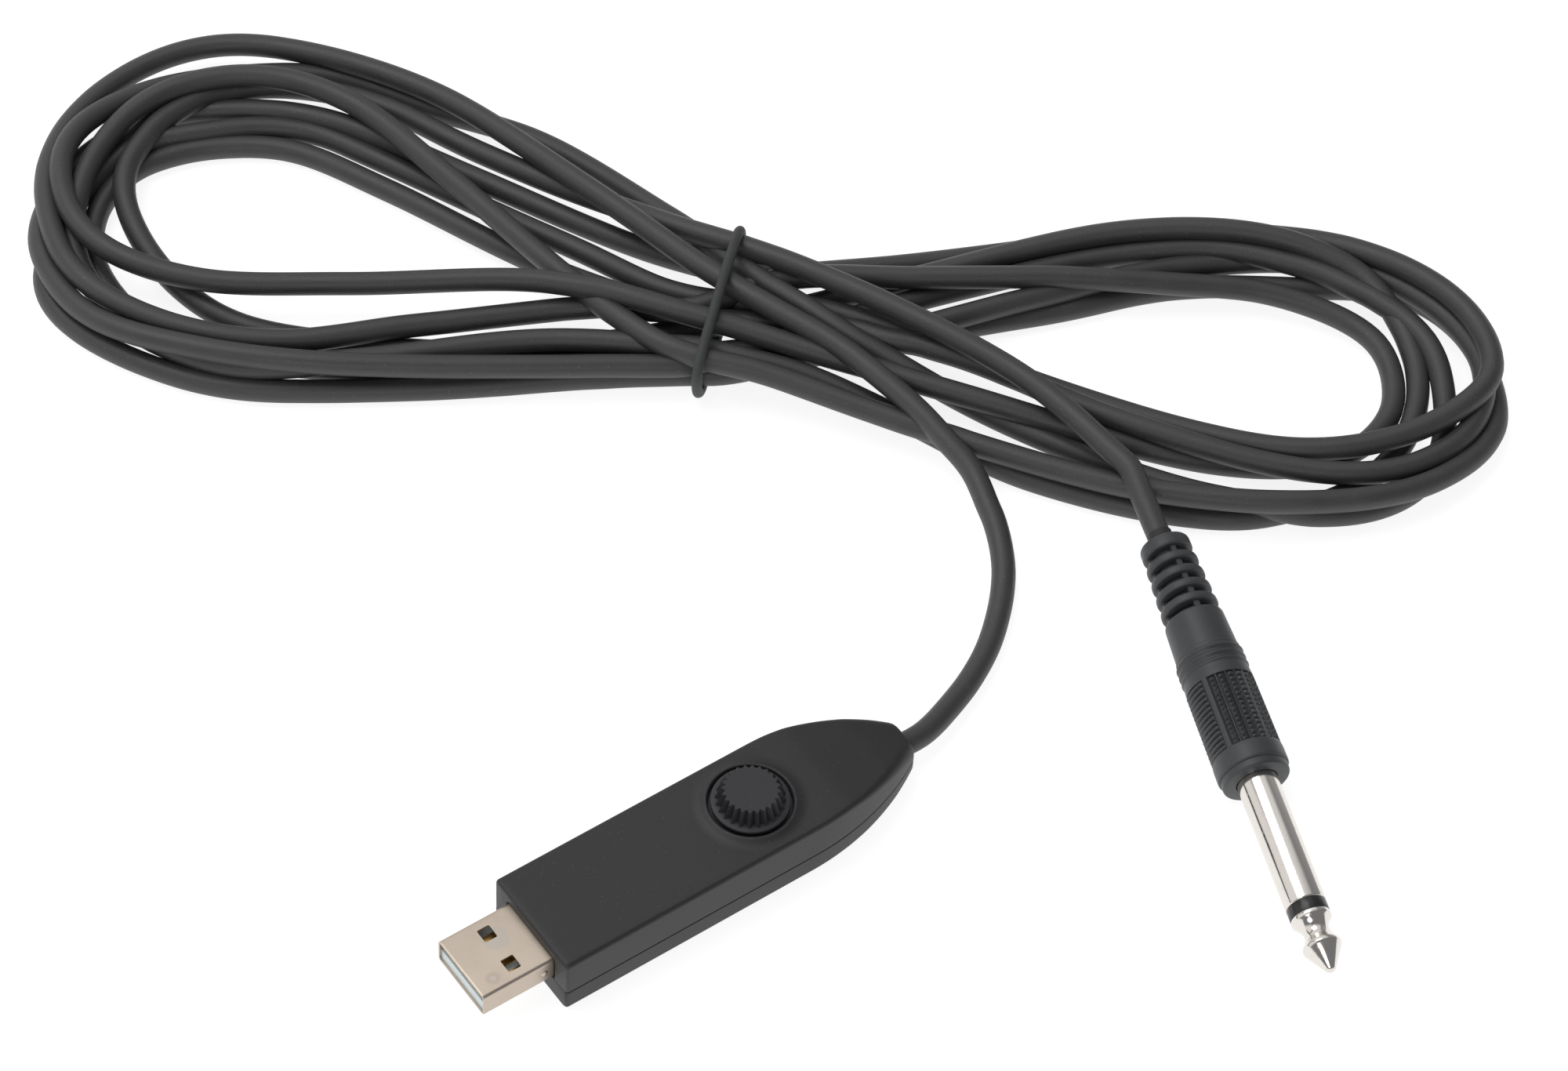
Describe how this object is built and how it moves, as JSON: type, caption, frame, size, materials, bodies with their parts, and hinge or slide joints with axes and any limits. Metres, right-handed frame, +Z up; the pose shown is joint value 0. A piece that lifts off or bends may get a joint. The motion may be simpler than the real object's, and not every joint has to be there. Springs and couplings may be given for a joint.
{
  "type": "instrument cable",
  "caption": "Instrument lead with a mono jack at one end and, at the other, a USB plug in a slim housing with a ribbed volume knob; the lead is folded into a tied hank.",
  "frame": {"origin": "on the surface below the middle of the housing with its USB plug, the cord, hank and jack left out", "axes": "+X along the housing from the USB plug towards the nose where the cord leaves, +Z up, knob axis along +Z"},
  "size_m": [0.2069, 0.2452, 0.0143],
  "materials": {
    "shell_plastic": "fine grained satin black moulding",
    "nickel_plate": "bright nickel plate",
    "contact_gold": "flash gold",
    "tongue_plastic": "pale glossy moulding",
    "board_laminate": "green solder mask",
    "chip_black": "matte epoxy",
    "chip_ceramic": "fired ceramic",
    "pot_plastic": "moulded phenolic",
    "shaft_metal": "turned",
    "wire_red": "extruded insulation",
    "screen_copper": "twisted bare strands",
    "solder": "solder fillet",
    "cord_jacket": "matte extruded jacket",
    "tie_rubber": "soft matte band",
    "handle_vinyl": "satin moulded grip",
    "premould": "natural moulding",
    "insulator_black": "turned insulator"
  },
  "bodies": {
    "lead": {"upper_shell": "shell_plastic", "lower_shell": "shell_plastic", "usb_shell": "nickel_plate", "usb_tongue": "tongue_plastic", "usb_contacts": "contact_gold", "circuit_board": "board_laminate", "codec_chip": "chip_black", "clock_crystal": "nickel_plate", "chip_capacitors": "chip_ceramic", "chip_resistors": "chip_black", "pot_body": "pot_plastic", "pot_lid": "nickel_plate", "cord_clamp": "shell_plastic", "housing_jacket_end": "cord_jacket", "housing_core_wires": "wire_red", "housing_screen_tail": "screen_copper", "solder_joints": "solder", "cord_housing_tail": "cord_jacket", "cord_hank": "cord_jacket", "tie_ring": "tie_rubber", "cord_jack_tail": "cord_jacket", "jack_strain_relief": "handle_vinyl", "jack_handle": "handle_vinyl", "jack_inner_mould": "premould", "jack_jacket_end": "cord_jacket", "jack_core_wire": "wire_red", "jack_screen_wire": "screen_copper", "jack_sleeve": "nickel_plate", "jack_sleeve_lug": "nickel_plate", "jack_insulator_tube": "insulator_black", "jack_insulator_ring": "insulator_black", "jack_rear_washer": "premould", "jack_tip_rod": "nickel_plate", "jack_tip_terminal": "nickel_plate", "jack_tip": "nickel_plate"},
    "knob": {"volume_knob": "shell_plastic", "pot_shaft": "shaft_metal", "pot_wiper": "contact_gold"}
  },
  "joints": [
    {"name": "knob_turn", "type": "hinge", "parent": "lead", "child": "knob", "pos_m": [0.0113, 0, 0.0112], "axis": [0, 0, 1], "range_deg": [-150, 150]}
  ]
}
